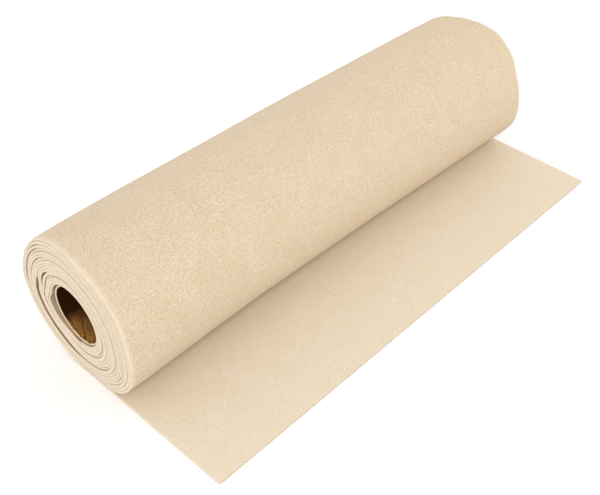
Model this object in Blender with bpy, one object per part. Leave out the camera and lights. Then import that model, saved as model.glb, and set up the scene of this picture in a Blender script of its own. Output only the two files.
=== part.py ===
"""A roll of craft felt on a cardboard tube, lying on the floor with its loose end laid out flat in front.

The roll lies along Y. Its near end faces -Y. The loose end leaves from under the roll and lies towards +X.
Angles round the roll start at the floor and go up the back, over the top and down the front.
Depths are measured inwards from the outside of the roll.
"""

import bmesh
import bpy
from math import cos, pi, radians, sin, sqrt
from mathutils import Vector

MM = 0.001

# Felt sheet
FELT_THICK = 2.1 * MM
FELT_WIDTH = 500 * MM

# Wound form: the half width and half height of the roll at its near and far ends
NEAR_HALF_WIDTH = 71.4 * MM
NEAR_HALF_HEIGHT = 69.5 * MM
FAR_HALF_WIDTH = 71.2 * MM
FAR_HALF_HEIGHT = 67.1 * MM
FLOOR_SINK = 0.7 * MM

# Broad unevenness of the side: waves round and along the roll, where they start in radians, and their
# height in mm
RIPPLES = {
    "round": (3, 5),
    "round_start": (1.3, 0.4),
    "along": (2.1, 1.0),
    "along_start": (0.5, 1.2),
    "height": (0.3, 0.2),
}

# How far the upper back and the lower front stand out from the plain section, along the roll, in mm
BACK_ANGLE = 137
FRONT_ANGLE = 308
SWELL_SPREAD = 55
SIDE = {
    "y": (2, 25, 60, 105, 165, 240, 320, 400, 450, 499),
    "back": (-2.7, -1.7, -0.9, -0.4, -0.3, -0.2, -0.5, -0.5, -0.8, -1.8),
    "front": (3.1, 3.0, 2.2, 0.8, 0.0, 0.9, 1.7, 3.5, 4.1, 5.3),
}

# Where each end face lies and how large its rim's rounding is, round the roll, in mm
NEAR_END = {
    "angle": (0, 20, 60, 90, 110, 135, 170, 205, 235, 270, 325, 345),
    "face_y": (2.4, 1.4, 0.3, 0.2, 0.8, 1.2, 0.6, 0.5, 1.4, -0.2, 0.0, 1.4),
    "rounding": (0.0, 1.6, 2.0, 2.6, 5.0, 6.5, 4.5, 3.0, 2.6, 2.4, 2.0, 1.4),
}
FAR_END = {
    "angle": (0, 30, 90, 137, 152, 168, 182, 195, 210, 230, 252, 268, 282, 300, 335),
    "face_y": (506.3, 504, 501, 500, 498.5, 497, 498.5, 501.5, 503.5, 502, 498, 498, 499, 501.5, 504.5),
    "rounding": (0.0, 1.6, 2.4, 5, 7, 8, 7, 5, 3, 2.4, 2.4, 2.4, 2.4, 2.2, 1.4),
}

# Loose end: how far it reaches from under the roll, and where its side edges run
REACH_NEAR = 159 * MM
REACH_FAR = 154.5 * MM
NEAR_EDGE_AT_ROLL = 2.4 * MM
NEAR_EDGE_AT_CUT = 2.9 * MM
FAR_EDGE_AT_ROLL = FELT_WIDTH + 6.3 * MM
FAR_EDGE_AT_CUT = FELT_WIDTH + 0.2 * MM
LOOSE_STEPS = 6

# Cardboard tube
TUBE_BORE = 50.8 * MM
TUBE_WALL = 2 * MM
TUBE_SET_BACK = 2 * MM
TUBE_LENGTH = FELT_WIDTH - TUBE_SET_BACK
TUBE_X = 1.2 * MM
TUBE_Z = 69.6 * MM
TUBE_COLUMNS = 48
FIT_GAP = 0.3 * MM

# Columns of faces round the wound form
COLUMNS = 60

# Steps of a rounded rim from its face to its side: shares of the rounding inwards and along
ROUNDING_STEPS = ((1.0, 0.0), (0.5, 0.13), (0.13, 0.5))
RIM_LEAST = 0.8 * MM
BORE_EASE = 0.8 * MM
EVEN_FACE_DEPTH = 20 * MM

# Grooves between groups of turns in the near end: how far inwards each lies at each angle, how deep it is cut
# and how wide it opens, in mm. A groove is deepest and widest at its open angle.
OUTER_GAP = {
    "angle": (0, 45, 85, 125, 160, 195, 235, 300),
    "depth": (7.5, 7.5, 6.8, 6.8, 10, 8.5, 6, 6),
    "open_angle": 85, "spread": 75, "cut": 7.0, "cut_elsewhere": 0.8, "width": 1.6, "width_elsewhere": 0.7,
}
MIDDLE_GAP = {
    "angle": (0, 53, 90, 127, 160, 200, 250, 300),
    "depth": (14, 11.5, 14, 19, 18, 15, 13.5, 13),
    "open_angle": 140, "spread": 45, "cut": 4.0, "cut_elsewhere": 0.8, "width": 1.2, "width_elsewhere": 0.7,
}
MAIN_GAP = {
    "angle": (3, 27, 53, 66, 79, 91, 106, 118, 131, 150, 200, 250, 282, 315, 338),
    "depth": (22.5, 19.4, 16.4, 17.4, 20.2, 24, 27.5, 28, 28.6, 28, 25, 22.5, 20.5, 19.5, 21),
    "open_angle": 85, "spread": 70, "cut": 14.0, "cut_elsewhere": 0.8, "width": 2.6, "width_elsewhere": 0.8,
}
INNER_GAP = {
    "angle": (0, 60, 90, 125, 170, 232, 281, 310),
    "depth": (31.5, 29.5, 31, 33.5, 33, 29, 28.5, 27.5),
    "open_angle": 300, "spread": 60, "cut": 1.6, "cut_elsewhere": 0.7, "width": 0.9, "width_elsewhere": 0.7,
}
NEAR_GAPS = (OUTER_GAP, MIDDLE_GAP, MAIN_GAP, INNER_GAP)
NEAR_LAND_SET_BACK = (0.0, -0.4, 0.5, -0.3, 0.6)
FAR_GAP_DEPTHS = (7, 14, 22, 31)
FAR_GAP_CUT = 1.2 * MM
FAR_GAP_WIDTH = 0.8 * MM
FAR_LAND_SET_BACK = (0.0, -0.8, -0.2, -0.7, 0.1)

# Hollow where the first turns stand off the tube at the near end, in mm
HOLLOW = {
    "angle": (20, 35, 50, 65, 78, 90, 100, 112, 125, 250),
    "stand_off": (0, 1.5, 5, 8, 9, 6.4, 4, 2, 0, 0),
}
HOLLOW_DEPTH = 22 * MM
HOLLOW_END = 32 * MM

FELT_COLOUR = "EBDCBF"
CARDBOARD_COLOUR = "A77F52"


def linear_colour(hex_colour):
    """An sRGB hex colour as linear red, green, blue and alpha."""
    values = [int(hex_colour[i:i + 2], 16) / 255 for i in (0, 2, 4)]
    return [v / 12.92 if v <= 0.04045 else ((v + 0.055) / 1.055) ** 2.4 for v in values] + [1.0]


def make_material(name, hex_colour, roughness):
    material = bpy.data.materials.new(name)
    material.use_nodes = True
    shader = material.node_tree.nodes["Principled BSDF"]
    shader.inputs["Base Color"].default_value = linear_colour(hex_colour)
    shader.inputs["Roughness"].default_value = roughness
    shader.inputs["Metallic"].default_value = 0.0
    return material


def blend(low, high, share):
    return low + (high - low) * share


def smooth_share(share):
    """0 to 1 with a level start and finish."""
    share = min(max(share, 0.0), 1.0)
    return share * share * (3 - 2 * share)


def between(places, values, at):
    """The value at a place, smoothly from row to row of a table."""
    for start, end, before, after in zip(places, places[1:], values, values[1:]):
        if at <= end:
            return blend(before, after, smooth_share((at - start) / (end - start)))
    return values[-1]


def at_angle(table, column, angle):
    """A table's value in metres at an angle in degrees. The table goes once round the roll."""
    places = table["angle"] + (table["angle"][0] + 360,)
    values = table[column] + (table[column][0],)
    return between(places, values, (angle - places[0]) % 360 + places[0]) * MM


def along_side(column, y):
    return between(SIDE["y"], SIDE[column], y / MM) * MM


def openness(angle, open_angle, spread):
    """1 where a gap stands open, falling to 0 at spread degrees to each side."""
    away = abs((angle - open_angle + 180) % 360 - 180)
    return 1 - smooth_share(away / spread)


def ray_to_ellipse(angle, centre_x, centre_z, half_width, half_height):
    """Distance from the tube's axis to an ellipse, going out at the angle."""
    along_x = -sin(radians(angle))
    along_z = -cos(radians(angle))
    from_x = TUBE_X - centre_x
    from_z = TUBE_Z - centre_z
    a = (along_x / half_width) ** 2 + (along_z / half_height) ** 2
    b = from_x * along_x / half_width ** 2 + from_z * along_z / half_height ** 2
    c = (from_x / half_width) ** 2 + (from_z / half_height) ** 2 - 1
    return (-b + sqrt(b * b - a * c)) / a


def ripple_height(turn, share):
    """Broad unevenness of the side. It dies away where the roll meets the floor."""
    height = 0.0
    for round_waves, round_start, along_waves, along_start, wave_height in zip(*RIPPLES.values()):
        wave = sin(round_waves * turn + round_start) * sin(along_waves * 2 * pi * share + along_start)
        height += wave_height * MM * wave
    return height * sin(turn / 2) ** 2


def roll_radius(angle, y):
    """Distance from the tube's axis to the outside of the roll, at a place along the roll."""
    share = y / FELT_WIDTH
    half_width = blend(NEAR_HALF_WIDTH, FAR_HALF_WIDTH, share)
    half_height = blend(NEAR_HALF_HEIGHT, FAR_HALF_HEIGHT, share)
    centre_z = half_height + FELT_THICK / 2 - FLOOR_SINK
    radius = ray_to_ellipse(angle, 0.0, centre_z, half_width, half_height)
    growth = FELT_THICK * (0.5 - angle / 360)
    swell = (along_side("back", y) * openness(angle, BACK_ANGLE, SWELL_SPREAD)
             + along_side("front", y) * openness(angle, FRONT_ANGLE, SWELL_SPREAD))
    return radius + growth + swell + ripple_height(radians(angle), share)


def roll_point(angle, radius, y):
    """A point of the wound form. It lies flat on the floor below, and on the loose end in front."""
    x = TUBE_X - radius * sin(radians(angle))
    z = TUBE_Z - radius * cos(radians(angle))
    lowest = FELT_THICK if angle > 180 else 0.0
    return Vector((x, y, max(z, lowest)))


def near_face(angle, inward):
    """Where the near end face lies. It evens out away from the rim."""
    rim = at_angle(NEAR_END, "face_y", angle)
    return blend(rim, 0.0, smooth_share(inward / EVEN_FACE_DEPTH))


def far_face(angle, inward):
    """Where the far end face lies. It evens out away from the rim."""
    rim = at_angle(FAR_END, "face_y", angle)
    return blend(rim, FELT_WIDTH, smooth_share(inward / EVEN_FACE_DEPTH))


def near_groove_loops(gap, outer_land, inner_land):
    """Three loops that make one groove in the near end: its outer lip, its floor and its inner lip."""
    def opened(angle, column):
        elsewhere = gap[column + "_elsewhere"]
        return blend(elsewhere, gap[column], openness(angle, gap["open_angle"], gap["spread"])) * MM

    def lip(side, land):
        def loop(angle):
            inward = at_angle(gap, "depth", angle) - side * opened(angle, "width") / 2
            return roll_radius(angle, 0) - inward, near_face(angle, inward) + land
        return loop

    def floor(angle):
        inward = at_angle(gap, "depth", angle)
        return roll_radius(angle, 0) - inward, max(outer_land, inner_land) + opened(angle, "cut")

    return lip(1, outer_land), floor, lip(-1, inner_land)


def far_groove_loops(depth, outer_land, inner_land):
    """Three loops that make one shallow groove in the far end, from its outer lip inwards."""
    def loop_at(side, land):
        inward = depth - side * FAR_GAP_WIDTH / 2
        return lambda angle: (roll_radius(angle, FELT_WIDTH) - inward, far_face(angle, inward) - land)

    floor_cut = max(outer_land, inner_land) + FAR_GAP_CUT
    return loop_at(1, outer_land), loop_at(0, floor_cut), loop_at(-1, inner_land)


def bore_radius(angle):
    return TUBE_BORE / 2 + TUBE_WALL + FIT_GAP


def hollow_radius(angle):
    return bore_radius(angle) + at_angle(HOLLOW, "stand_off", angle)


def near_rim_loop(inset_share, back_share):
    """A loop on the rounding between the near face and the side."""
    def loop(angle):
        rounding = at_angle(NEAR_END, "rounding", angle)
        return (roll_radius(angle, 0) - max(rounding, RIM_LEAST) * inset_share,
                at_angle(NEAR_END, "face_y", angle) + rounding * back_share)
    return loop


def far_rim_loop(inset_share, back_share):
    def loop(angle):
        rounding = at_angle(FAR_END, "rounding", angle)
        return (roll_radius(angle, FELT_WIDTH) - max(rounding, RIM_LEAST) * inset_share,
                at_angle(FAR_END, "face_y", angle) - rounding * back_share)
    return loop


def side_loop(y):
    """A loop on the side. It keeps its share of the way from one rounded rim to the other."""
    share = (y - SIDE["y"][0] * MM) / ((SIDE["y"][-1] - SIDE["y"][0]) * MM)

    def loop(angle):
        start = at_angle(NEAR_END, "face_y", angle) + at_angle(NEAR_END, "rounding", angle)
        end = at_angle(FAR_END, "face_y", angle) - at_angle(FAR_END, "rounding", angle)
        return roll_radius(angle, y), blend(start, end, share)
    return loop


def felt_loops():
    """Every loop round the wound form: across the near end, along the side, across the far end and back
    through the bore. Each is a function that gives the radius and y at an angle."""
    near_lands = [land * MM for land in NEAR_LAND_SET_BACK]
    far_lands = [land * MM for land in FAR_LAND_SET_BACK]
    loops = [lambda angle: (hollow_radius(angle) + BORE_EASE, near_lands[-1])]
    for index in reversed(range(len(NEAR_GAPS))):
        loops += reversed(near_groove_loops(NEAR_GAPS[index], near_lands[index], near_lands[index + 1]))
    loops += [near_rim_loop(*step) for step in ROUNDING_STEPS]
    first_side_loop = len(loops)
    loops += [side_loop(y * MM) for y in SIDE["y"]]
    last_side_loop = len(loops) - 1
    loops += [far_rim_loop(*step) for step in reversed(ROUNDING_STEPS)]
    for index, depth in enumerate(FAR_GAP_DEPTHS):
        loops += far_groove_loops(depth * MM, far_lands[index], far_lands[index + 1])
    far_end = FELT_WIDTH - far_lands[-1]
    loops += [
        lambda angle: (bore_radius(angle) + BORE_EASE, far_end),
        lambda angle: (bore_radius(angle), far_end - BORE_EASE),
        lambda angle: (bore_radius(angle), HOLLOW_END),
        lambda angle: (hollow_radius(angle), HOLLOW_DEPTH),
        lambda angle: (hollow_radius(angle), near_lands[-1] + BORE_EASE),
    ]
    return loops, first_side_loop, last_side_loop


def new_object(name, mesh_builder, material):
    mesh = bpy.data.meshes.new(name)
    build = bmesh.new()
    mesh_builder(build)
    bmesh.ops.recalc_face_normals(build, faces=build.faces)
    build.to_mesh(mesh)
    build.free()
    mesh.materials.append(material)
    mesh.shade_smooth()
    mesh.set_sharp_from_angle(angle=radians(40))
    part = bpy.data.objects.new(name, mesh)
    bpy.context.scene.collection.objects.link(part)
    return part


def build_loops(build, columns, loops, point_at):
    """A closed skin through loops of points, by extruding one circle's edges from loop to loop.
    The last loop is bridged to the first. Every vertex keeps its column and loop number in a layer."""
    column_of = build.verts.layers.int.new("column")
    loop_of = build.verts.layers.int.new("loop")
    verts = bmesh.ops.create_circle(build, cap_ends=False, segments=columns, radius=NEAR_HALF_WIDTH)["verts"]
    for number, vert in enumerate(verts):
        vert[column_of] = number
    edges = first_edges = list(build.edges)
    for number, loop in enumerate(loops):
        if number:
            made = bmesh.ops.extrude_edge_only(build, edges=edges)["geom"]
            verts = [item for item in made if isinstance(item, bmesh.types.BMVert)]
            on_loop = set(verts)
            edges = [item for item in made if isinstance(item, bmesh.types.BMEdge)
                     and item.verts[0] in on_loop and item.verts[1] in on_loop]
        for vert in verts:
            angle = 360 * vert[column_of] / columns
            vert.co = point_at(angle, *loop(angle))
            vert[loop_of] = number
    bmesh.ops.bridge_loops(build, edges=edges + first_edges)
    return column_of, loop_of


def loose_end_point(share, out, on_top):
    """A point of the loose end. Share runs from its near to its far edge, out from the roll to the cut."""
    reach = blend(REACH_NEAR, REACH_FAR, share)
    near_edge = blend(NEAR_EDGE_AT_ROLL, NEAR_EDGE_AT_CUT, smooth_share(out))
    far_edge = blend(FAR_EDGE_AT_ROLL, FAR_EDGE_AT_CUT, out)
    return Vector((reach * out, blend(near_edge, far_edge, share), FELT_THICK if on_top else 0.0))


def build_felt(build):
    loops, first_side, last_side = felt_loops()
    column_of, loop_of = build_loops(build, COLUMNS, loops, roll_point)
    side_columns = {0, COLUMNS - 1}
    strip = [face for face in build.faces if all(
        vert[column_of] in side_columns and first_side <= vert[loop_of] <= last_side
        for vert in face.verts)]
    start_of = {(vert[column_of], vert[loop_of]): vert.co.x for face in strip for vert in face.verts}
    for step in range(1, LOOSE_STEPS + 1):
        edges = list({edge for face in strip for edge in face.edges})
        made = bmesh.ops.extrude_face_region(build, geom=strip + edges)["geom"]
        strip = [item for item in made if isinstance(item, bmesh.types.BMFace)]
        for vert in {vert for face in strip for vert in face.verts}:
            share = (vert[loop_of] - first_side) / (last_side - first_side)
            start = start_of[vert[column_of], vert[loop_of]] / blend(REACH_NEAR, REACH_FAR, share)
            vert.co = loose_end_point(share, blend(start, 1.0, step / LOOSE_STEPS), vert[column_of] != 0)


def build_tube(build):
    outer = TUBE_BORE / 2 + TUBE_WALL
    inner = TUBE_BORE / 2
    start = TUBE_SET_BACK
    end = start + TUBE_LENGTH
    loops = [lambda angle, at=at: at for at in ((inner, start), (outer, start), (outer, end), (inner, end))]
    build_loops(build, TUBE_COLUMNS, loops, tube_point)


def tube_point(angle, radius, y):
    return Vector((TUBE_X - radius * sin(radians(angle)), y, TUBE_Z - radius * cos(radians(angle))))


def stand_on_origin(parts):
    """Moves the pieces together, so that the origin is on the floor under the middle of the whole."""
    points = [vert.co for part in parts for vert in part.data.vertices]
    middle_x = (min(p.x for p in points) + max(p.x for p in points)) / 2
    middle_y = (min(p.y for p in points) + max(p.y for p in points)) / 2
    shift = Vector((-middle_x, -middle_y, -min(p.z for p in points)))
    for part in parts:
        for vert in part.data.vertices:
            vert.co += shift


def main():
    for old in list(bpy.data.objects):
        bpy.data.objects.remove(old)
    felt = new_object("felt", build_felt, make_material("cream_felt", FELT_COLOUR, 0.95))
    tube = new_object("core_tube", build_tube, make_material("brown_cardboard", CARDBOARD_COLOUR, 0.85))
    stand_on_origin([felt, tube])


main()
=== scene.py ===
"""Looks for a roll of cream craft felt on a brown cardboard tube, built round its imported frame.

The roll lies along Y with its near end facing -Y, and its loose end lies on the floor towards +X. The felt is
one sheet, from the cut edge of the loose end, under the roll and up its back, and on inwards to the tube.
A place along it in the roll is given in turns, counted inwards from the floor under the roll. Angles in a
turn start at the floor and go up the back, over the top and down the front. Depths are measured inwards
from the outside of the roll, and y in the tables from its near end. Tables are in millimetres and degrees.
"""

from math import pi

import bmesh
import bpy
import numpy as np
from bpy.props import FloatProperty, FloatVectorProperty, IntProperty, PointerProperty
from mathutils import Matrix, Vector


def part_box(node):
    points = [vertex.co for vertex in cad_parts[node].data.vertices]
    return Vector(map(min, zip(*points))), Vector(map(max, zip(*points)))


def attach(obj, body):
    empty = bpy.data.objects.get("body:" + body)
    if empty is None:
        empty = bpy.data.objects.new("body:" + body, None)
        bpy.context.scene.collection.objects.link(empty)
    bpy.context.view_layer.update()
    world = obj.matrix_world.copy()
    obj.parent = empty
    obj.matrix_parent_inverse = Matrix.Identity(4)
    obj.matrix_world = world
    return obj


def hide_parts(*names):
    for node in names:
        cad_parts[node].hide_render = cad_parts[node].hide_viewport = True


bl_info = {
    "name": "Roll of felt",
    "version": (1, 0, 0),
    "blender": (4, 5, 0),
    "location": "3D View > Sidebar > Felt roll",
    "description": "Makes the wound felt sheet, its cardboard tube and a plain stage",
    "category": "Object",
}

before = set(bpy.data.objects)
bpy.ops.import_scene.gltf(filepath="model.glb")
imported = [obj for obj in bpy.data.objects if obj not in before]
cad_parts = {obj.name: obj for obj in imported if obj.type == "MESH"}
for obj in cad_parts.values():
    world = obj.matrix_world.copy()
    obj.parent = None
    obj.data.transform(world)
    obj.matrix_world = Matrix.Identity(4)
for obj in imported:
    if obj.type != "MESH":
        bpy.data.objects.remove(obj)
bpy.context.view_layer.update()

MM = 0.001
PIECE_BODY = "root"

# The tube's box in the frame gives the roll's axis and the plane of the felt's near edge
TUBE_LOW, TUBE_HIGH = (Vector(corner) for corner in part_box("core_tube"))
TUBE_SET_BACK = 2 * MM
AXIS_X = (TUBE_LOW.x + TUBE_HIGH.x) / 2
AXIS_Z = (TUBE_LOW.z + TUBE_HIGH.z) / 2
NEAR_PLANE_Y = TUBE_LOW.y - TUBE_SET_BACK

# Wound form: the roll's half width and half height at its ends, how far its foot is pressed flat on the
# floor, and how far the tube's axis lies beside its middle
NEAR_HALF_WIDTH = 71.4 * MM
NEAR_HALF_HEIGHT = 69.5 * MM
FAR_HALF_WIDTH = 71.2 * MM
FAR_HALF_HEIGHT = 67.1 * MM
FLOOR_SINK = 0.7 * MM
TUBE_ASIDE = 1.2 * MM

# Broad unevenness of the side: waves round and along the roll, where they start in radians, and their height
RIPPLES = {
    "round": (3, 5),
    "round_start": (1.3, 0.4),
    "along": (2.1, 1.0),
    "along_start": (0.5, 1.2),
    "height": (0.3, 0.2),
}

# How far the upper back and the lower front stand out from the plain section, along the roll. It is most at
# one angle for each, and fades out over the spread to both sides of it
BACK_ANGLE = 137
FRONT_ANGLE = 308
SWELL_SPREAD = 55
SIDE = {
    "y": (2, 25, 60, 105, 165, 240, 320, 400, 450, 499),
    "back": (-3.4, -2.6, -1.9, -1.3, -1.1, -0.9, -1.1, -1.3, -1.8, -3.0),
    "front": (3.1, 3.0, 2.2, 0.8, 0.0, 0.9, 1.7, 3.5, 4.1, 5.3),
}

# Where the outer turn's edges lie at each end and how far the turns at the rim step back, round the roll
NEAR_END = {
    "angle": (0, 20, 60, 90, 110, 135, 170, 205, 235, 270, 325, 345),
    "face_y": (2.4, 1.4, 0.3, 0.2, 0.8, 1.2, 0.6, 0.5, 1.4, -0.2, 0.0, 1.4),
    "rounding": (0.0, 1.6, 2.0, 2.6, 5.0, 6.5, 4.5, 3.0, 2.6, 2.4, 2.0, 1.4),
}
FAR_END = {
    "angle": (0, 30, 90, 137, 152, 168, 182, 195, 210, 230, 252, 268, 282, 300, 335),
    "face_y": (506.3, 504, 501, 500, 498.5, 497, 498.5, 501.5, 503.5, 502, 498, 498, 499, 501.5, 504.5),
    "rounding": (0.0, 1.6, 2.4, 5, 7, 8, 7, 5, 3, 2.4, 2.4, 2.4, 2.4, 2.2, 1.4),
}
# How deep in the roll its end faces are even
EVEN_FACE_DEPTH = 20 * MM

# Small waves of the edges along the sheet: their height, their radians in a turn and where they start
EDGE_WAVES = {
    "height": (0.3, 0.12, 0.06),
    "rate": (0.55, 2.1, 19.7),
    "start": (0.4, 0.0, 1.1),
}
# How many turns the far edge's waves are ahead of the near edge's, and the turns over which both start
FAR_WAVES_AHEAD = 5.3
EDGE_START_TURNS = 0.4

# Loose end: how far it reaches from under the roll, and where its side edges run
REACH_NEAR = 159 * MM
REACH_FAR = 154.5 * MM
NEAR_EDGE_AT_CUT = 2.9 * MM
FAR_EDGE_AT_CUT = 500.2 * MM
# How much closer together its columns of points lie towards the cut edge
LOOSE_SPACING = 1.8

# Gaps between turns: the turn that each lies outside of, the angles where it starts to open, stands open,
# starts to close and has closed, how wide it opens, and how far along the roll it goes from its end
NEAR_GAPS = {
    "turn": (2, 3, 9, 11, 6, 4, 13),
    "opens": (40, 25, -5, 96, 85, 250, 240),
    "open": (80, 65, 30, 108, 105, 285, 290),
    "closes": (140, 125, 98, 124, 135, 300, 320),
    "closed": (185, 175, 112, 145, 165, 340, 355),
    "width": (0.4, 0.5, 3.4, 2.0, 0.5, 0.2, 0.2),
    "reach": (100, 120, 190, 150, 110, 120, 90),
}
FAR_GAPS = {
    "turn": (2, 4, 6, 9, 11, 13),
    "opens": (250, 240, 80, 0, 160, 70),
    "open": (290, 280, 130, 40, 210, 110),
    "closes": (330, 320, 170, 80, 250, 150),
    "closed": (370, 360, 220, 120, 300, 190),
    "width": (1.4, 0.5, 0.4, 1.4, 0.8, 0.3),
    "reach": (200, 180, 110, 150, 120, 100),
}

# Edges that stand out of the near face or lie back in it: the turn and angle of each, how far it spreads
# along the sheet in turns, and how far it stands out
NEAR_STEPS = {
    "turn": (2, 3, 5, 7, 8, 9, 10, 11, 12, 4, 13, 14, 6),
    "angle": (295, 80, 250, 290, 60, 55, 60, 285, 130, 130, 230, 110, 160),
    "spread": (0.45, 0.4, 0.3, 0.45, 0.35, 0.3, 0.3, 0.45, 0.3, 0.4, 0.45, 0.45, 0.4),
    "out": (0.7, -0.9, 0.4, 0.9, 0.2, -0.3, 0.2, 0.9, -0.8, 0.4, 0.7, 0.5, -0.5),
}

# Turns over which the gaps fade in where the sheet lies on its own loose end, and out where it starts on the
# tube
CLOSED_TURNS = 0.2

# Slack that the gaps leave is shared out unevenly: the least share of a turn, and two waves along the sheet
# in radians a turn, and where the first starts
LEAST_LOOSENESS = 0.25
LOOSENESS_RATES = (2.3, 0.83)
LOOSENESS_START = 0.7
# Room that the gaps have to leave for it
SLACK_ROOM = 0.3 * MM

# Hollow where the innermost turn stands off the tube at the near end, how far in it keeps its width, and how
# far in it ends
HOLLOW = {
    "angle": (15, 35, 50, 65, 78, 88, 98, 106, 125, 250),
    "stand_off": (0, 2.2, 4.6, 6.6, 7.2, 6.4, 3.2, 0.6, 0, 0),
}
HOLLOW_DEPTH = 22 * MM
HOLLOW_END = 60 * MM

# Where the lights point
LIGHT_AIM = Vector((0.05, -0.05, 0.03))

# How far the cut edges are eased in, and over how much of the felt beside them
EDGE_EASE = 0.09 * MM
EDGE_EASE_WIDTH = 0.7 * MM

# How much of its thickness a turn at the rounded rim loses at its edge, and the turns over which that starts
RIM_TAPER = 0.75
RIM_TAPER_TURNS = 0.05

# Least space between turns that touch, and between the felt and the tube
TURN_CLEARANCE = 0.03 * MM
TUBE_CLEARANCE = 0.25 * MM

# Shorter than any length that matters
TINY = 0.01 * MM

# Rows of points across the felt, as distances from its near edge, closest at both cut edges
ROWS_ACROSS = (
    0, 0.4, 0.9, 1.8, 3, 8, 20, 45, 90, 150, 210, 250, 290, 350, 410, 455, 480, 492, 497, 498.2, 499.1, 499.6,
    500)

# Scales of the felt's patterns, in a metre. Real fibres are 0.03 mm thick, far too fine to show, so they are
# drawn as grains of 0.6 mm and as streaks 5 mm long and 1 mm wide. The clouds are 22 mm across
FELT_GRAIN_SCALE = 1600.0
FELT_STREAK_SCALES = (200.0, 1000.0)
FELT_CLOUD_SCALE = 45.0

# How far in from a cut edge the pale band of painted light is at its palest
PALEST_EDGE = 0.2 * MM

# Painted shade on the inner face between the turns and at the roll's foot: how far in from a cut edge it
# starts and is full, its share, and over what length of felt it starts where the roll covers that face
PAINTED_SHADE_START = 0.1 * MM
PAINTED_SHADE_FULL = 0.8 * MM
PAINTED_SHADE_STRENGTH = 0.9
PAINTED_SHADE_RAMP = 80 * MM

# The painted shade at the hollow beside the tube: the length of felt round it, over what length that passes
# into the rest, and how much of the painted shade it takes
HOLLOW_FELT = 200 * MM
HOLLOW_FADE = 60 * MM
HOLLOW_PAINTED_SHADE = 0.65

# Scales of the card's patterns, in a metre. Real paper fibres are too fine to show, so they are drawn 4 mm
# long and 0.8 mm wide. Its blotches are 17 mm across and the notches of its ragged dark line 4.5 mm
CARD_FIBRE_SCALES = (250.0, 1200.0)
CARD_BLOTCH_SCALE = 60.0
CARD_DARK_LINE_SCALE = 220.0

# The card's seam: where it starts and how wide it is, as shares of a ply
SEAM_START = 0.013
SEAM_WIDTH = 0.012
# How far in from the tube's ends the bore's painted light, and the sawn card, start and are full
LIT_END_START = 24 * MM
LIT_END_FULL = 1 * MM
SAWN_START = 0.7 * MM
SAWN_FULL = 0.3 * MM
# How far below the tube's axis the painted light on the bore's floor starts, and is full
LIT_FLOOR_START = 13 * MM
LIT_FLOOR_FULL = 26 * MM
# The ragged dark line just inside the ends: how far in it lies at most, how far it wanders and half its width
DARK_LINE_DEPTH = 6.3 * MM
DARK_LINE_WANDER = 9 * MM
DARK_LINE_HALF_WIDTH = 0.45 * MM

# The floor's faint haze: patches 0.7 m across, and the tone of the darkest
FLOOR_HAZE_SCALE = 1.5
FLOOR_HAZE_TONE = 0.985


def linear_colour(hex_colour):
    """An sRGB hex colour as linear red, green and blue."""
    values = [int(hex_colour[i:i + 2], 16) / 255 for i in (0, 2, 4)]
    return tuple(v / 12.92 if v <= 0.04045 else ((v + 0.055) / 1.055) ** 2.4 for v in values)


def blend(low, high, share):
    return low + (high - low) * share


def smooth_share(share):
    """0 to 1 with a level start and finish."""
    share = np.clip(share, 0.0, 1.0)
    return share * share * (3 - 2 * share)


def between(places, values, at):
    """The values at places, smoothly from row to row of a table."""
    places = np.asarray(places, float)
    values = np.asarray(values, float)
    row = np.clip(np.searchsorted(places, at, side="left") - 1, 0, len(places) - 2)
    share = (at - places[row]) / (places[row + 1] - places[row])
    return blend(values[row], values[row + 1], smooth_share(share))


def at_angle(table, column, angle):
    """A table's values in metres at angles in degrees. The table goes once round the roll."""
    places = table["angle"] + (table["angle"][0] + 360,)
    values = table[column] + (table[column][0],)
    return between(places, values, (angle - places[0]) % 360 + places[0]) * MM


def bump(away, spread):
    """1 in the middle, falling smoothly to 0 at the spread to each side."""
    return 1 - smooth_share(np.abs(away) / spread)


def angle_away(angle, middle):
    return (angle - middle + 180) % 360 - 180


def side_radius(angle, y, felt):
    """Distance from the tube's axis to the middle of the outer turn's felt, but for its spiral."""
    share = y / felt.width
    half_width = blend(NEAR_HALF_WIDTH, FAR_HALF_WIDTH, share)
    half_height = blend(NEAR_HALF_HEIGHT, FAR_HALF_HEIGHT, share)
    centre_z = half_height + felt.thickness / 2 - FLOOR_SINK
    # Where a line from the tube's axis meets the ellipse
    turn = np.radians(angle)
    along_x = -np.sin(turn)
    along_z = -np.cos(turn)
    from_z = AXIS_Z - centre_z
    a = (along_x / half_width) ** 2 + (along_z / half_height) ** 2
    b = TUBE_ASIDE * along_x / half_width ** 2 + from_z * along_z / half_height ** 2
    c = (TUBE_ASIDE / half_width) ** 2 + (from_z / half_height) ** 2 - 1
    radius = (-b + np.sqrt(b * b - a * c)) / a
    swell = (between(SIDE["y"], SIDE["back"], y / MM) * bump(angle_away(angle, BACK_ANGLE), SWELL_SPREAD)
             + between(SIDE["y"], SIDE["front"], y / MM) * bump(angle_away(angle, FRONT_ANGLE), SWELL_SPREAD))
    ripple = 0.0
    for round_waves, round_start, along_waves, along_start, height in zip(*RIPPLES.values()):
        wave = np.sin(round_waves * turn + round_start) * np.sin(along_waves * 2 * pi * share + along_start)
        ripple = ripple + height * wave
    return radius + (swell + ripple * np.sin(turn / 2) ** 2) * MM


def gap_widths(gaps, turns, away_from_end):
    """How wide the gaps of a table stand open at places along the sheet and across it."""
    total = 0.0
    for turn, opens, is_open, closes, closed, width, reach in zip(*gaps.values()):
        angle = (turns - turn) * 360
        opened = smooth_share((angle - opens) / (is_open - opens))
        unclosed = smooth_share((closed - angle) / (closed - closes))
        away = smooth_share(away_from_end / (reach * MM))
        total = total + width * MM * (opened * unclosed) * (1 - away)
    return total


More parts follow.
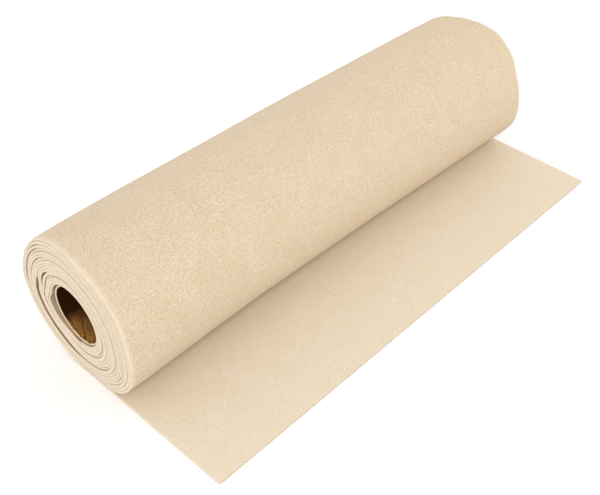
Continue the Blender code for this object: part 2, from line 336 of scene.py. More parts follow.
def turn_depths(turns, y, steps, felt, tube_radius):
    """Depths of the felt's outer face at places along the wound sheet and across it, and how far its inner
    face can fluff out to the next turn. Each turn lies one thickness and its gap inwards of the turn outside
    it, and the last lies on the tube."""
    count = felt.turns
    thick = felt.thickness
    angle = (turns % 1.0) * 360
    # Turns touch where the sheet passes over its own loose end and where it starts on the tube
    open_share = smooth_share((turns - 1) / CLOSED_TURNS) * smooth_share((count - turns) / CLOSED_TURNS)
    gaps = gap_widths(NEAR_GAPS, turns, y) + gap_widths(FAR_GAPS, turns, felt.width - y)
    gaps = gaps * open_share
    first_rate, second_rate = LOOSENESS_RATES
    wave = np.sin(first_rate * turns + LOOSENESS_START) * np.sin(second_rate * turns)
    looseness = open_share * (LEAST_LOOSENESS + (0.5 + 0.5 * wave) ** 2)

    # Room for gaps and slack from the side of the roll to the tube, or to the hollow beside it
    stand_off = at_angle(HOLLOW, "stand_off", angle) * (
        1 - smooth_share((y - HOLLOW_DEPTH) / (HOLLOW_END - HOLLOW_DEPTH)))
    ramp = thick * (1 - angle / 360)
    room = (side_radius(angle, y, felt) - tube_radius - np.maximum(stand_off, ramp)
            - thick * (count - 0.5 + angle / 360))
    room = room[:steps]

    def per_turn(values):
        """The values of turns 1 and on, one row a turn, over the steps of one turn."""
        return values[steps:count * steps].reshape(count - 1, steps, -1)

    gap_rows = per_turn(gaps)
    loose_rows = per_turn(looseness)
    gap_sum = gap_rows.sum(axis=0)
    # Gaps that add up to more than their room are narrowed. The smallest number is there only to divide by
    gap_scale = np.minimum(1.0, np.maximum(room - SLACK_ROOM, 0.0) / np.maximum(gap_sum, 1e-9))
    left_over = room - gap_sum * gap_scale
    slack = loose_rows * left_over / loose_rows.sum(axis=0)
    stacked = np.zeros((count, steps, y.shape[1]))
    stacked[1:] = np.cumsum(gap_rows * gap_scale + slack, axis=0)
    stacked = stacked.reshape(count * steps, -1)
    # The sheet's last column goes on as the two before it do
    stacked = np.vstack([stacked, stacked[-1:] * 2 - stacked[-2:-1]])
    fluff = np.zeros_like(stacked)
    fluff[:(count - 1) * steps] = slack.reshape((count - 1) * steps, -1)
    return thick * (turns - 0.5) + stacked, np.maximum(fluff - TURN_CLEARANCE, 0.0)


def edge_stagger(turns):
    """How far each place of the sheet's edge lies back from an even face."""
    total = 0.0
    for height, rate, start in zip(*EDGE_WAVES.values()):
        total = total + height * MM * np.sin(rate * turns + start)
    return total


def step_out(turns):
    """How far each place of the near edge stands out by the table of steps."""
    total = 0.0
    for turn, angle, spread, out in zip(*NEAR_STEPS.values()):
        total = total + out * MM * bump(turns - turn - angle / 360, spread)
    return total


def rim_curve(distance, rounding):
    """How far a rim rounded like a quarter circle lies in at a distance from its start. It is the same from
    the side as from the end face."""
    rounding = np.maximum(rounding, TINY)
    share = 1 - np.clip(distance / rounding, 0.0, 1.0)
    return rounding * (1 - np.sqrt(1 - share ** 2))


def felt_layout(felt, tube_radius):
    """The felt's outer and inner face as grids of points, and its flat-cut coordinates."""
    steps = felt.steps_per_turn
    thick = felt.thickness
    wound = felt.turns * steps
    turns = np.arange(wound + 1).reshape(-1, 1) / steps
    angle = (turns % 1.0) * 360
    across = np.array(ROWS_ACROSS).reshape(1, -1) / ROWS_ACROSS[-1]
    even_y = across * felt.width + np.zeros_like(turns)

    # Edges of the wound sheet at both ends
    rough, _ = turn_depths(turns, even_y, steps, felt, tube_radius)
    near_depth = rough[:, :1] + RIM_TAPER * thick
    far_depth = rough[:, -1:] + RIM_TAPER * thick
    near_rounding = at_angle(NEAR_END, "rounding", angle)
    far_rounding = at_angle(FAR_END, "rounding", angle)
    near_even = smooth_share(near_depth / EVEN_FACE_DEPTH)
    far_even = smooth_share(far_depth / EVEN_FACE_DEPTH)
    near_face = blend(at_angle(NEAR_END, "face_y", angle), 0.0, near_even)
    far_face = blend(at_angle(FAR_END, "face_y", angle), felt.width, far_even)
    started = smooth_share(turns / EDGE_START_TURNS)
    near_back = started * (edge_stagger(turns) - step_out(turns))
    far_back = started * edge_stagger(turns + FAR_WAVES_AHEAD)
    near_y = near_face + rim_curve(near_depth, near_rounding) + near_back
    far_y = far_face - rim_curve(far_depth, far_rounding) - far_back
    y = blend(near_y, far_y, across)

    depth, fluff = turn_depths(turns, y, steps, felt, tube_radius)
    outer_radius = side_radius(angle, y, felt) - depth
    # How many thicknesses of felt lie below the outer face on the floor
    below = np.floor(turns + 0.5)

    # Both cut edges are a little rounded, and at the rim the turns taper along its curve
    from_edge = np.minimum(across, 1 - across) * felt.width
    pull = EDGE_EASE * (1 - smooth_share(from_edge / EDGE_EASE_WIDTH)) ** 2
    rim_depth = np.maximum(rim_curve(y - near_face, near_rounding), rim_curve(far_face - y, far_rounding))
    rim_pull = np.clip(rim_depth - np.maximum(depth, 0.0), 0.0, RIM_TAPER * thick)
    rim_pull = rim_pull * smooth_share(turns / RIM_TAPER_TURNS)
    outer_pull = np.maximum(pull, rim_pull)

    def wound_points(inward, turns_below):
        radius = outer_radius - inward
        x = AXIS_X - radius * np.sin(np.radians(angle))
        z = AXIS_Z - radius * np.cos(np.radians(angle))
        return np.stack([x, y + NEAR_PLANE_Y, np.maximum(z, thick * turns_below)], axis=-1)

    wound_outer = wound_points(outer_pull, below)
    wound_inner = wound_points(thick + fluff - pull, below + 1)

    # Loose end, from its cut edge to the floor under the roll
    share = (np.arange(felt.loose_steps) / felt.loose_steps).reshape(-1, 1) ** LOOSE_SPACING
    reach = blend(REACH_NEAR, REACH_FAR, across)
    cut_x = AXIS_X - TUBE_ASIDE + reach
    loose_x = blend(cut_x, AXIS_X, share)
    loose_near = blend(NEAR_EDGE_AT_CUT, near_y[0, 0], share)
    loose_far = blend(FAR_EDGE_AT_CUT, far_y[0, 0], share)
    loose_y = blend(loose_near, loose_far, across)
    loose_pull = np.maximum(pull, EDGE_EASE * (share == 0))

    def loose_points(height):
        return np.stack([loose_x, loose_y + NEAR_PLANE_Y, height], axis=-1)

    outer = np.concatenate([loose_points(loose_pull), wound_outer])
    inner = np.concatenate([loose_points(thick - loose_pull), wound_inner])
    middle = (outer + inner)[:, len(ROWS_ACROSS) // 2] / 2
    along = np.concatenate([[0.0], np.cumsum(np.linalg.norm(np.diff(middle, axis=0), axis=1))])
    return outer, inner, along, across[0] * felt.width


def new_piece(name, build, material):
    """An object at the origin from a bmesh, with its material."""
    # Faces go in the order of their points, because the tools of bmesh leave them in another order each run
    build.verts.index_update()
    in_order = sorted(build.faces, key=lambda face: sorted(vert.index for vert in face.verts))
    for index, face in enumerate(in_order):
        face.index = index
    build.faces.sort()
    mesh = bpy.data.meshes.new(name)
    build.to_mesh(mesh)
    build.free()
    mesh.materials.append(material)
    piece = bpy.data.objects.new(name, mesh)
    bpy.context.scene.collection.objects.link(piece)
    return piece


def add_node(tree, kind, inputs=None, **settings):
    """Adds a node with its settings. Each input gets a value, or a link where it is given a socket."""
    node = tree.nodes.new(kind)
    for name, value in settings.items():
        setattr(node, name, value)
    for key, value in (inputs or {}).items():
        socket = node.inputs[key]
        if isinstance(value, bpy.types.NodeSocket):
            tree.links.new(value, socket)
        else:
            socket.default_value = value
    return node


def new_material(name):
    """An empty node material, and its shader and output joined up."""
    material = bpy.data.materials.new(name)
    material.use_nodes = True
    tree = material.node_tree
    tree.nodes.clear()
    shader = add_node(tree, "ShaderNodeBsdfPrincipled")
    add_node(tree, "ShaderNodeOutputMaterial", {"Surface": shader.outputs["BSDF"]})
    return material, tree, shader


def needled_felt(felt, name, colour, shade_colour, coarseness, pale_band, covered_from=None):
    """Acrylic craft felt, needled and pressed: fibres run every way, so it is matt, with a fine cloudy
    speckle of lighter and darker fibres, and a soft pale edge of loose fibres where light grazes it. A pale
    band beside its cut edges is painted light, for the brighter end faces and rims. The needles push fibres
    through to the outer face, which is coarser and warmer than the inner one. Where the roll covers the inner
    face, between the turns and at the roll's foot, it has painted shade, darker and warmer."""
    material, tree, shader = new_material(name)
    flat = add_node(tree, "ShaderNodeUVMap", uv_map="flat_cut")
    place = add_node(tree, "ShaderNodeTexCoord")
    long_scale, wide_scale = FELT_STREAK_SCALES

    def fibres(turn, size, seed):
        """Streaks of fibre that run one way."""
        laid = add_node(tree, "ShaderNodeMapping", {
            "Vector": flat.outputs["UV"], "Location": (seed, seed, 0.0), "Rotation": (0.0, 0.0, turn),
            "Scale": (long_scale / size, wide_scale / size, 1.0)})
        streaks = add_node(tree, "ShaderNodeTexNoise", {
            "Vector": laid.outputs["Vector"], "Scale": 1.0, "Detail": 3.0, "Roughness": 0.6,
            "Distortion": 0.8})
        return streaks.outputs["Fac"]

    # Three layers of fibres that cross
    crossed = fibres(0.4, 0.9, 3.1)
    for layer in (fibres(-0.9, 1.0, 7.7), fibres(1.7, 0.8, 5.9)):
        crossed = add_node(tree, "ShaderNodeMath", {0: crossed, 1: layer}, operation="MAXIMUM").outputs[0]
    grain = add_node(tree, "ShaderNodeTexNoise", {
        "Vector": place.outputs["Object"], "Scale": FELT_GRAIN_SCALE, "Detail": 2.0, "Roughness": 0.7})
    clouds = add_node(tree, "ShaderNodeTexNoise", {
        "Vector": place.outputs["Object"], "Scale": FELT_CLOUD_SCALE, "Detail": 2.0, "Roughness": 0.5})

    streak = add_node(tree, "ShaderNodeMapRange", {"Value": crossed, "From Min": 0.45, "From Max": 0.8})
    tint = add_node(tree, "ShaderNodeMix", {
        "Factor": streak.outputs[0], 6: (*shade_colour, 1.0), 7: (*colour, 1.0)}, data_type="RGBA")
    parts = add_node(tree, "ShaderNodeSeparateXYZ", {"Vector": flat.outputs["UV"]})
    cut_edge = felt.width / 2
    from_middle = add_node(tree, "ShaderNodeMath", {0: parts.outputs["Y"], 1: cut_edge}, operation="SUBTRACT")
    from_middle = add_node(tree, "ShaderNodeMath", {0: from_middle.outputs[0]}, operation="ABSOLUTE")
    # Laid over the streaks: light specks, dark specks, soft clouds, and painted light as a pale band at the
    # cut edges
    for value, low, high, most, laid_over in (
            (grain.outputs["Fac"], 0.44, 0.62, 0.8 * coarseness, felt.light_colour),
            (grain.outputs["Fac"], 0.46, 0.36, 0.95 * coarseness, shade_colour),
            (clouds.outputs["Fac"], 0.3, 0.7, 0.16, shade_colour),
            (from_middle.outputs[0], cut_edge - pale_band, cut_edge - PALEST_EDGE, 0.38, felt.light_colour)):
        share = add_node(tree, "ShaderNodeMapRange", {
            "Value": value, "From Min": low, "From Max": high, "To Max": most})
        tint = add_node(tree, "ShaderNodeMix", {
            "Factor": share.outputs[0], 6: tint.outputs[2], 7: (*laid_over, 1.0)}, data_type="RGBA")

    if covered_from is not None:
        # Painted shade between the turns and at the roll's foot: dimmer and warmer, like light come through
        # felt
        deep = add_node(tree, "ShaderNodeMapRange", {
            "Value": from_middle.outputs[0], "From Min": cut_edge - PAINTED_SHADE_START,
            "From Max": cut_edge - PAINTED_SHADE_FULL, "To Max": PAINTED_SHADE_STRENGTH})
        covered = add_node(tree, "ShaderNodeMapRange", {
            "Value": parts.outputs["X"], "From Min": covered_from, "From Max": covered_from + PAINTED_SHADE_RAMP})
        # Less painted shade on the innermost turn, which gets more open light in the hollow beside the tube
        hollow_from = felt.length - HOLLOW_FELT
        hollow = add_node(tree, "ShaderNodeMapRange", {
            "Value": parts.outputs["X"], "From Min": hollow_from, "From Max": hollow_from - HOLLOW_FADE,
            "To Min": HOLLOW_PAINTED_SHADE})
        covered = add_node(tree, "ShaderNodeMath", {0: covered.outputs[0], 1: hollow.outputs[0]},
                           operation="MULTIPLY")
        painted_shade_share = add_node(tree, "ShaderNodeMath", {0: deep.outputs[0], 1: covered.outputs[0]},
                                 operation="MULTIPLY")
        tint = add_node(tree, "ShaderNodeMix", {
            "Factor": painted_shade_share.outputs[0], 6: tint.outputs[2], 7: (*felt.turn_gap_painted_shade, 1.0)},
            data_type="RGBA")

    height = add_node(tree, "ShaderNodeMath", {0: crossed, 1: grain.outputs["Fac"]}, operation="ADD")
    relief = add_node(tree, "ShaderNodeBump", {
        "Height": height.outputs[0], "Strength": 0.9 * coarseness, "Distance": 0.45 * MM})
    tree.links.new(tint.outputs[2], shader.inputs["Base Color"])
    tree.links.new(relief.outputs["Normal"], shader.inputs["Normal"])
    shader.inputs["Roughness"].default_value = 0.95
    shader.inputs["Specular IOR Level"].default_value = 0.2
    shader.inputs["Sheen Weight"].default_value = 0.25
    shader.inputs["Sheen Roughness"].default_value = 0.6
    shader.inputs["Sheen Tint"].default_value = (*felt.light_colour, 1.0)
    return material


def kraft_card(tube):
    """Kraft paper wound in a spiral and glued: matt brown with long paper fibres and a thin dark line where
    each ply meets itself. It is pale and furry where the tube was sawn off, with a ragged dark line just
    inside its ends. The bore has painted light, paler brown, on its floor near the ends, and painted shade,
    dark brown, deeper in and on its upper wall."""
    material, tree, shader = new_material("spiral_wound_kraft_card")
    place = add_node(tree, "ShaderNodeUVMap", uv_map="round_and_along")
    fibre_place = add_node(tree, "ShaderNodeMapping", {
        "Vector": place.outputs["UV"], "Rotation": (0.0, 0.0, 0.6), "Scale": (*CARD_FIBRE_SCALES, 1.0)})
    fibre = add_node(tree, "ShaderNodeTexNoise", {
        "Vector": fibre_place.outputs["Vector"], "Scale": 1.0, "Detail": 4.0, "Roughness": 0.65})
    blotch = add_node(tree, "ShaderNodeTexNoise", {
        "Vector": place.outputs["UV"], "Scale": CARD_BLOTCH_SCALE, "Detail": 2.0, "Roughness": 0.5})
    parts = add_node(tree, "ShaderNodeSeparateXYZ", {"Vector": place.outputs["UV"]})
    # The seam climbs one ply width along the tube for each turn round it
    climb = add_node(tree, "ShaderNodeMath", {0: parts.outputs["Y"], 1: tube.ply_width}, operation="DIVIDE")
    round_share = add_node(tree, "ShaderNodeMath", {0: parts.outputs["X"], 1: pi * tube.bore},
                           operation="DIVIDE")
    spiral = climb
    for added in (round_share.outputs[0], SEAM_START):
        spiral = add_node(tree, "ShaderNodeMath", {0: spiral.outputs[0], 1: added}, operation="ADD")
    spiral = add_node(tree, "ShaderNodeMath", {0: spiral.outputs[0]}, operation="FRACT")
    seam = add_node(tree, "ShaderNodeMath", {0: spiral.outputs[0], 1: SEAM_WIDTH}, operation="LESS_THAN")

    ends = add_node(tree, "ShaderNodeMath", {0: parts.outputs["Y"], 1: (TUBE_LOW.y + TUBE_HIGH.y) / 2},
                    operation="SUBTRACT")
    ends = add_node(tree, "ShaderNodeMath", {0: ends.outputs[0]}, operation="ABSOLUTE")
    from_end = add_node(tree, "ShaderNodeMath", {0: (TUBE_HIGH.y - TUBE_LOW.y) / 2, 1: ends.outputs[0]},
                        operation="SUBTRACT")
    lit_near_end = add_node(tree, "ShaderNodeMapRange", {
        "Value": from_end.outputs[0], "From Min": LIT_END_START, "From Max": LIT_END_FULL})
    # Painted light only on the floor of the bore, below its axis; the upper wall keeps the painted shade
    place_in_bore = add_node(tree, "ShaderNodeTexCoord")
    bore_parts = add_node(tree, "ShaderNodeSeparateXYZ", {"Vector": place_in_bore.outputs["Object"]})
    low = add_node(tree, "ShaderNodeMapRange", {
        "Value": bore_parts.outputs["Z"], "From Min": AXIS_Z - LIT_FLOOR_START, "From Max": AXIS_Z - LIT_FLOOR_FULL},
        interpolation_type="SMOOTHSTEP")
    painted_bore_light = add_node(tree, "ShaderNodeMath", {0: lit_near_end.outputs[0], 1: low.outputs[0]},
                      operation="MULTIPLY")
    sawn = add_node(tree, "ShaderNodeMapRange", {
        "Value": from_end.outputs[0], "From Min": SAWN_START, "From Max": SAWN_FULL})

    fibre_share = add_node(tree, "ShaderNodeMapRange", {
        "Value": fibre.outputs["Fac"], "From Min": 0.35, "From Max": 0.68})
    colour = add_node(tree, "ShaderNodeMix", {
        "Factor": fibre_share.outputs[0], 6: (*tube.shade_colour, 1.0), 7: (*tube.colour, 1.0)},
        data_type="RGBA")
    blotch_share = add_node(tree, "ShaderNodeMapRange", {
        "Value": blotch.outputs["Fac"], "From Min": 0.35, "From Max": 0.7, "To Max": 0.4})
    colour = add_node(tree, "ShaderNodeMix", {
        "Factor": blotch_share.outputs[0], 6: colour.outputs[2], 7: (*tube.shade_colour, 1.0)},
        data_type="RGBA")
    # Painted shade, dark brown, deep in the bore and on its upper wall; painted light near the ends on its
    # floor
    colour = add_node(tree, "ShaderNodeMix", {
        "Factor": painted_bore_light.outputs[0], 6: (*tube.bore_shade_colour, 1.0), 7: colour.outputs[2]}, data_type="RGBA")
    seam_share = add_node(tree, "ShaderNodeMath", {0: seam.outputs[0], 1: 0.7}, operation="MULTIPLY")
    # A ragged dark line just inside the end
    ragged = add_node(tree, "ShaderNodeTexNoise", {
        "Vector": place.outputs["UV"], "Scale": CARD_DARK_LINE_SCALE, "Detail": 3.0, "Roughness": 0.7})
    ragged = add_node(tree, "ShaderNodeMath", {
        0: ragged.outputs["Fac"], 1: DARK_LINE_WANDER, 2: from_end.outputs[0]}, operation="MULTIPLY_ADD")
    dark_line = add_node(tree, "ShaderNodeMath", {0: ragged.outputs[0], 1: DARK_LINE_DEPTH, 2: DARK_LINE_HALF_WIDTH},
                    operation="COMPARE")
    dark_line_share = add_node(tree, "ShaderNodeMath", {0: dark_line.outputs[0], 1: 0.85}, operation="MULTIPLY")
    for share, laid_over in (
            (seam_share, tube.seam_colour), (sawn, tube.sawn_colour), (dark_line_share, tube.bore_shade_colour)):
        colour = add_node(tree, "ShaderNodeMix", {
            "Factor": share.outputs[0], 6: colour.outputs[2], 7: (*laid_over, 1.0)}, data_type="RGBA")
    height = add_node(tree, "ShaderNodeMath", {0: fibre.outputs["Fac"], 1: seam.outputs[0]},
                      operation="SUBTRACT")
    relief = add_node(tree, "ShaderNodeBump", {
        "Height": height.outputs[0], "Strength": 0.35, "Distance": 0.2 * MM})
    tree.links.new(colour.outputs[2], shader.inputs["Base Color"])
    tree.links.new(relief.outputs["Normal"], shader.inputs["Normal"])
    shader.inputs["Roughness"].default_value = 0.9
    shader.inputs["Specular IOR Level"].default_value = 0.03
    return material


def pale_floor(stage):
    """Matt white studio sheet: plain and pale, so that only the soft shadow shows on it."""
    material, tree, shader = new_material("matt_white_studio_sheet")
    place = add_node(tree, "ShaderNodeTexCoord")
    haze = add_node(tree, "ShaderNodeTexNoise", {
        "Vector": place.outputs["Object"], "Scale": FLOOR_HAZE_SCALE, "Detail": 1.0})
    tone = add_node(tree, "ShaderNodeMix", {
        "Factor": haze.outputs["Fac"], 6: (*stage.floor_colour, 1.0),
        7: (*[FLOOR_HAZE_TONE * v for v in stage.floor_colour], 1.0)}, data_type="RGBA")
    tree.links.new(tone.outputs[2], shader.inputs["Base Color"])
    shader.inputs["Roughness"].default_value = 0.9
    shader.inputs["Specular IOR Level"].default_value = 0.1
    return material


class FeltSettings(bpy.types.PropertyGroup):
    thickness: FloatProperty(
        name="Thickness", description="Thickness of the felt", default=2.1 * MM, min=1 * MM, max=3 * MM,
        precision=4, unit="LENGTH")
    width: FloatProperty(
        name="Width", description="Width of the felt, from one cut edge to the other", default=500 * MM,
        unit="LENGTH")
    length: FloatProperty(
        name="Length", description="Flat length of the whole felt", default=5.13, unit="LENGTH")
    turns: IntProperty(name="Turns", description="Turns of felt on the tube", default=16, min=4, max=20)
    steps_per_turn: IntProperty(
        name="Steps per turn", description="Columns of faces in each turn", default=96, min=24, max=120)
    loose_steps: IntProperty(
        name="Loose end steps", description="Columns of faces in the loose end", default=24, min=4, max=60)
    colour: FloatVectorProperty(
        name="Colour", description="Main colour of the felt", subtype="COLOR", min=0, max=1,
        default=linear_colour("CFBE9C"))
    # Paler than the outer face's colour: painted light that makes up for the shade the roll casts on the
    # loose end
    inner_colour: FloatVectorProperty(
        name="Inner face", description="Colour of the smoother inner face", subtype="COLOR", min=0, max=1,
        default=linear_colour("E7DCCA"))
    inner_shade_colour: FloatVectorProperty(
        name="Inner dark fibres", description="Colour between the fibres of the inner face", subtype="COLOR",
        min=0, max=1, default=linear_colour("D2C1A4"))
    outer_coarseness: FloatProperty(
        name="Outer coarseness", description="How strongly the outer face's fibres show", default=0.95, min=0,
        max=1)
    inner_coarseness: FloatProperty(
        name="Inner coarseness", description="How strongly the inner face's fibres show", default=0.55, min=0,
        max=1)
    light_colour: FloatVectorProperty(
        name="Light fibres", description="Colour of the palest fibres", subtype="COLOR", min=0, max=1,
        default=linear_colour("F0E4D3"))
    shade_colour: FloatVectorProperty(
        name="Dark fibres", description="Colour between the fibres", subtype="COLOR", min=0, max=1,
        default=linear_colour("C0A580"))
    # Colour of the painted shade between the turns and at the roll's foot
    turn_gap_painted_shade: FloatVectorProperty(
        name="Between turns", description="Colour that felt has in the light between the turns",
        subtype="COLOR", min=0, max=1, default=linear_colour("8C6438"))
    # The pale bands are painted light on the cut edges, for the brighter end faces and rims
    outer_pale_band: FloatProperty(
        name="Outer pale band", description="How wide the outer face is paler beside its cut edges",
        default=5 * MM, precision=4, unit="LENGTH")
    inner_pale_band: FloatProperty(
        name="Inner pale band", description="How wide the inner face is paler beside its cut edges",
        default=0.6 * MM, precision=4, unit="LENGTH")
    # Where the painted shade on the inner face starts, just before the roll's foot
    covered_from: FloatProperty(
        name="Covered from", description="Length from the loose end's cut edge to where the roll covers the "
        "inner face", default=113 * MM, unit="LENGTH")


class TubeSettings(bpy.types.PropertyGroup):
    bore: FloatProperty(
        name="Bore", description="Inside diameter of the tube", default=50.8 * MM, unit="LENGTH")
    wall: FloatProperty(
        name="Wall", description="Thickness of the tube's wall", default=2 * MM, precision=4, unit="LENGTH")
    ply_width: FloatProperty(
        name="Ply width", description="How far the spiral seam climbs in each turn round the tube",
        default=90 * MM, unit="LENGTH")
    steps_round: IntProperty(
        name="Steps round", description="Columns of faces round the tube", default=144, min=24, max=256)
    colour: FloatVectorProperty(
        name="Colour", description="Main colour of the card", subtype="COLOR", min=0, max=1,
        default=linear_colour("C8974F"))
    shade_colour: FloatVectorProperty(
        name="Dark fibres", description="Darker colour of the card", subtype="COLOR", min=0, max=1,
        default=linear_colour("7A481D"))
    # Painted shade: the bore's dark brown deep in and on its upper wall, also used for the ragged dark line
    bore_shade_colour: FloatVectorProperty(
        name="Deep inside", description="Colour of the unscuffed card inside", subtype="COLOR", min=0, max=1,
        default=linear_colour("2A1407"))
    sawn_colour: FloatVectorProperty(
        name="Sawn edge", description="Colour of the furry sawn ends", subtype="COLOR", min=0, max=1,
        default=linear_colour("D8C8A6"))
    seam_colour: FloatVectorProperty(
        name="Seam", description="Colour of the seam between plies", subtype="COLOR", min=0, max=1,
        default=linear_colour("2A1A0C"))


class StageSettings(bpy.types.PropertyGroup):
    floor_size: FloatProperty(
        name="Floor size", description="Side of the square floor", default=12.0, unit="LENGTH")
    floor_colour: FloatVectorProperty(
        name="Floor colour", description="Colour of the floor", subtype="COLOR", min=0, max=1,
        default=linear_colour("F8F8F7"))
    sky_strength: FloatProperty(
        name="Sky strength", description="Strength of the even light from all round", default=0.97)
    key_strength: FloatProperty(
        name="Key light", description="Strength of the soft light from above the camera", default=1.12)
    key_spread: FloatProperty(
        name="Key light spread", description="How wide the key light looks from the roll, which softens its "
        "shadows", default=12 * pi / 180, unit="ROTATION", subtype="ANGLE")
    key_place: FloatVectorProperty(
        name="Key light place", description="Where the key light stands", subtype="XYZ", unit="LENGTH",
        default=(1.12, -1.05, 1.39))
    fill_power: FloatProperty(
        name="Fill light", description="Power of the low soft light in front", default=1.6, unit="POWER")
    fill_size: FloatProperty(
        name="Fill light size", description="Side of the square fill light", default=1.2, unit="LENGTH")
    fill_place: FloatVectorProperty(
        name="Fill light place", description="Where the fill light stands", subtype="XYZ", unit="LENGTH",
        default=(1.35, -0.8, 0.62))
    camera_place: FloatVectorProperty(
        name="Camera place", description="Where the camera stands", subtype="XYZ", unit="LENGTH",
        default=(0.461209, -0.487724, 0.5755))
    camera_turn: FloatVectorProperty(
        name="Camera turn", description="Downward tilt, roll and heading of the camera", subtype="EULER",
        unit="ROTATION", default=(0.70284, -0.04695, 0.80774))
    lens: FloatProperty(name="Lens", description="Focal length in millimetres", default=56.2)


class FELT_OT_make_felt(bpy.types.Operator):
    """Make the felt: one sheet wound on the tube, with its loose end on the floor"""

    bl_idname = "felt_roll.make_felt"
    bl_label = "Felt"

    def execute(self, context):
        felt = context.scene.felt_settings
        tube = context.scene.tube_settings
        tube_radius = tube.bore / 2 + tube.wall + TUBE_CLEARANCE
        outer, inner, along, across = felt_layout(felt, tube_radius)
        columns, rows = outer.shape[0] - 1, outer.shape[1] - 1

        # A square grid becomes the outer face, its copy the inner one, and the walls between them the edges
        half_side = 0.5
        build = bmesh.new()
        bmesh.ops.create_grid(build, x_segments=columns, y_segments=rows, size=half_side)
        grown = bmesh.ops.extrude_face_region(build, geom=build.faces[:])
        inner_verts = {item for item in grown["geom"] if isinstance(item, bmesh.types.BMVert)}
        uv_layer = build.loops.layers.uv.new("flat_cut")
        flat_place = {}
        for vert in build.verts:
            column, row = round((vert.co.x + half_side) * columns), round((vert.co.y + half_side) * rows)
            flat_place[vert] = (along[column], across[row])
            vert.co = (inner if vert in inner_verts else outer)[column, row]
        for face in build.faces:
            face.smooth = True
            face.material_index = int(all(vert in inner_verts for vert in face.verts))
            for loop in face.loops:
                loop[uv_layer].uv = flat_place[loop.vert]
        bmesh.ops.recalc_face_normals(build, faces=build.faces)
        outer_face = needled_felt(
            felt, "needled_felt_outer_face", felt.colour, felt.shade_colour, felt.outer_coarseness,
            felt.outer_pale_band)
        inner_face = needled_felt(
            felt, "pressed_felt_inner_face", felt.inner_colour, felt.inner_shade_colour,
            felt.inner_coarseness, felt.inner_pale_band, felt.covered_from)
        piece = new_piece("felt_sheet", build, outer_face)
        piece.data.materials.append(inner_face)
        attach(piece, PIECE_BODY)
        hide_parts("felt")
        return {"FINISHED"}


class FELT_OT_make_tube(bpy.types.Operator):
    """Make the spiral-wound cardboard tube"""

    bl_idname = "felt_roll.make_tube"
    bl_label = "Cardboard tube"

    def execute(self, context):
        tube = context.scene.tube_settings
        inside = tube.bore / 2
        outside = inside + tube.wall
        # The outer edges are eased, and the bore's edges worn by spindles
        ease = 0.3 * MM
        worn = 1.0 * MM
        profile = (
            (inside, TUBE_LOW.y + worn), (inside + worn, TUBE_LOW.y), (outside - ease, TUBE_LOW.y),
            (outside, TUBE_LOW.y + ease), (outside, TUBE_HIGH.y - ease), (outside - ease, TUBE_HIGH.y),
            (inside + worn, TUBE_HIGH.y), (inside, TUBE_HIGH.y - worn))
        build = bmesh.new()
        verts = [build.verts.new((AXIS_X + radius, y, AXIS_Z)) for radius, y in profile]
        edges = [build.edges.new((verts[i], verts[i - 1])) for i in range(len(verts))]
        bmesh.ops.spin(
            build, geom=verts + edges, cent=(AXIS_X, 0, AXIS_Z), axis=(0, 1, 0), angle=2 * pi,
            steps=tube.steps_round, use_merge=True)
        bmesh.ops.remove_doubles(build, verts=build.verts, dist=TINY)
        bmesh.ops.recalc_face_normals(build, faces=build.faces)
        uv_layer = build.loops.layers.uv.new("round_and_along")
        for face in build.faces:
            face.smooth = True
            centre = face.calc_center_median()
            middle_turn = np.arctan2(centre.z - AXIS_Z, centre.x - AXIS_X)
            for loop in face.loops:
                point = loop.vert.co
                turn = np.arctan2(point.z - AXIS_Z, point.x - AXIS_X)
                # Keeps the corners of the face where the angle starts again on one side of it
                turn += 2 * pi * round((middle_turn - turn) / (2 * pi))
                loop[uv_layer].uv = (turn * inside, point.y)
        piece = new_piece("cardboard_tube", build, kraft_card(tube))
        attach(piece, PIECE_BODY)
        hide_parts("core_tube")
        return {"FINISHED"}


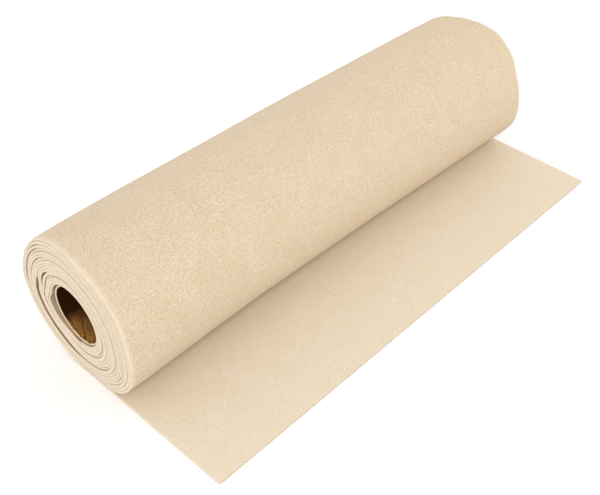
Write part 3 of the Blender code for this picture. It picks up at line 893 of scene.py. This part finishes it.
class FELT_OT_make_stage(bpy.types.Operator):
    """Make the pale floor, the soft lights and the camera"""

    bl_idname = "felt_roll.make_stage"
    bl_label = "Floor, light and camera"

    def execute(self, context):
        stage = context.scene.stage_settings
        build = bmesh.new()
        bmesh.ops.create_grid(build, x_segments=1, y_segments=1, size=stage.floor_size / 2)
        floor = new_piece("floor", build, pale_floor(stage))

        world = bpy.data.worlds.new("even_sky")
        world.use_nodes = True
        sky = world.node_tree.nodes["Background"]
        sky.inputs["Color"].default_value = (1.0, 1.0, 1.0, 1.0)
        sky.inputs["Strength"].default_value = stage.sky_strength
        context.scene.world = world

        key_data = bpy.data.lights.new("key_light", "SUN")
        key_data.energy = stage.key_strength
        key_data.angle = stage.key_spread
        fill_data = bpy.data.lights.new("fill_light", "AREA")
        fill_data.energy = stage.fill_power
        fill_data.size = stage.fill_size
        for lamp_data, place in ((key_data, stage.key_place), (fill_data, stage.fill_place)):
            lamp = bpy.data.objects.new(lamp_data.name, lamp_data)
            lamp.location = place
            lamp.rotation_euler = (LIGHT_AIM - lamp.location).to_track_quat("-Z", "Y").to_euler()
            context.scene.collection.objects.link(lamp)

        lens_data = bpy.data.cameras.new("photo_camera")
        lens_data.lens = stage.lens
        lens_data.sensor_width = 36.0
        lens_data.sensor_fit = "HORIZONTAL"
        camera = bpy.data.objects.new("photo_camera", lens_data)
        tilt, roll, heading = stage.camera_turn
        turned = (Matrix.Rotation(heading, 4, "Z") @ Matrix.Rotation(pi / 2 - tilt, 4, "X")
                  @ Matrix.Rotation(roll, 4, "Z"))
        camera.matrix_world = Matrix.Translation(Vector(stage.camera_place)) @ turned
        context.scene.collection.objects.link(camera)
        context.scene.camera = camera
        context.scene.view_settings.view_transform = "Standard"
        return {"FINISHED"}


class FELT_PT_panel(bpy.types.Panel):
    """Sizes, colours and pieces of the roll of felt"""

    bl_idname = "FELT_PT_panel"
    bl_label = "Roll of felt"
    bl_space_type = "VIEW_3D"
    bl_region_type = "UI"
    bl_category = "Felt roll"

    def draw(self, context):
        scene = context.scene
        for settings, operator in (
                (scene.stage_settings, FELT_OT_make_stage), (scene.tube_settings, FELT_OT_make_tube),
                (scene.felt_settings, FELT_OT_make_felt)):
            box = self.layout.box()
            for name in settings.__annotations__:
                box.prop(settings, name)
            box.operator(operator.bl_idname)


CLASSES = (
    FeltSettings, TubeSettings, StageSettings, FELT_OT_make_stage, FELT_OT_make_tube, FELT_OT_make_felt,
    FELT_PT_panel)


def register():
    for cls in CLASSES:
        bpy.utils.register_class(cls)
    bpy.types.Scene.felt_settings = PointerProperty(type=FeltSettings)
    bpy.types.Scene.tube_settings = PointerProperty(type=TubeSettings)
    bpy.types.Scene.stage_settings = PointerProperty(type=StageSettings)


def unregister():
    del bpy.types.Scene.stage_settings
    del bpy.types.Scene.tube_settings
    del bpy.types.Scene.felt_settings
    for cls in reversed(CLASSES):
        bpy.utils.unregister_class(cls)


def main():
    register()
    bpy.ops.felt_roll.make_stage()
    bpy.ops.felt_roll.make_tube()
    bpy.ops.felt_roll.make_felt()


if __name__ == "__main__":
    main()
